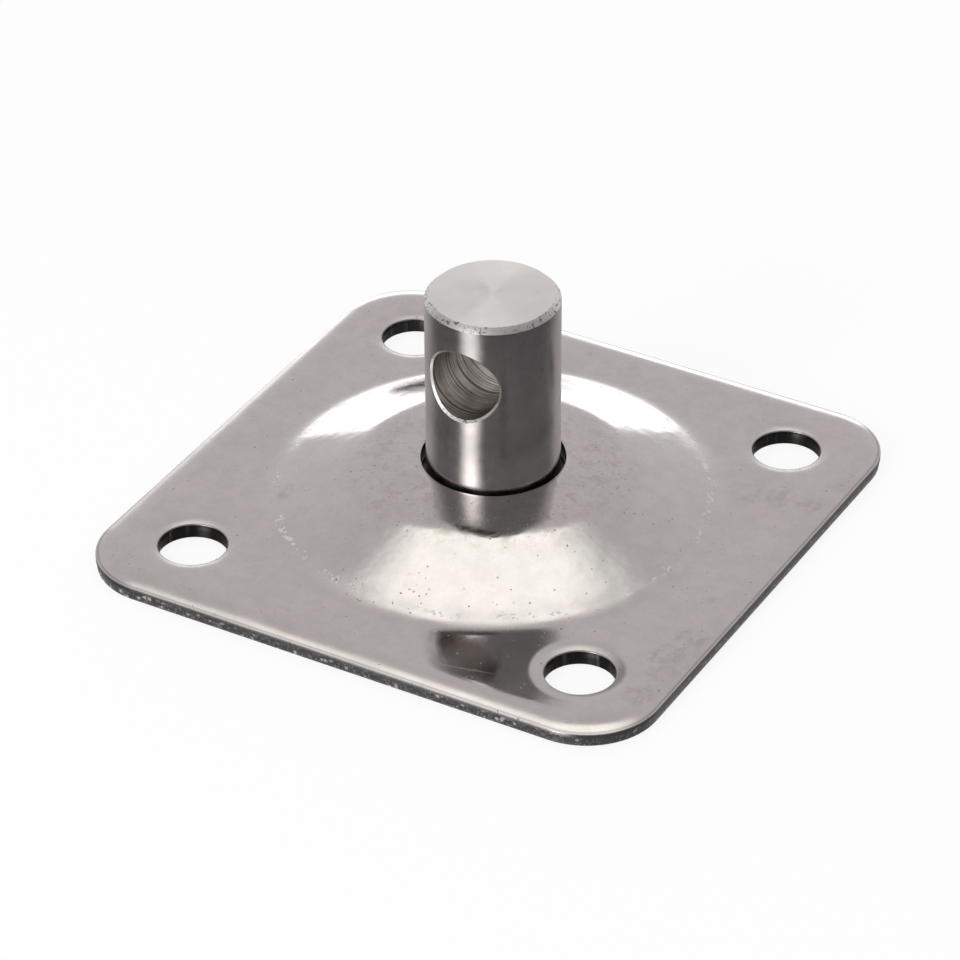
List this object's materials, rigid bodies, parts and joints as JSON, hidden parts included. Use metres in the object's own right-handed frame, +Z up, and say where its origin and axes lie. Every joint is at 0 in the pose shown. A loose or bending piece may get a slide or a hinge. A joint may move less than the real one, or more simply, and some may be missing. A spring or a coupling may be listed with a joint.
{
  "type": "swivel base",
  "caption": "Square pressed base plate with a domed middle that traps a freely swivelling upright post, cross-drilled for a clevis pin; screws flat to a deck.",
  "frame": {"origin": "on the deck surface, on the swivel axis, which is the middle of the plate's underside", "axes": "+Z up along the swivel axis, away from the deck; +Y along the cross hole with the post at rest; X and Y along the plate's sides"},
  "size_m": [0.05, 0.05, 0.0207],
  "materials": {
    "pressed_steel": "bright rolled stainless sheet, pressed, with fine scratches, small pits and light smudges",
    "turned_steel": "turned and faced stainless bar with fine tool marks"
  },
  "bodies": {
    "base": {"base_plate": "pressed_steel"},
    "post": {"swivel_post": "turned_steel"}
  },
  "joints": [
    {"name": "swivel", "type": "hinge", "parent": "base", "child": "post", "pos_m": [0, 0, 0], "axis": [0, 0, 1], "continuous": true}
  ]
}
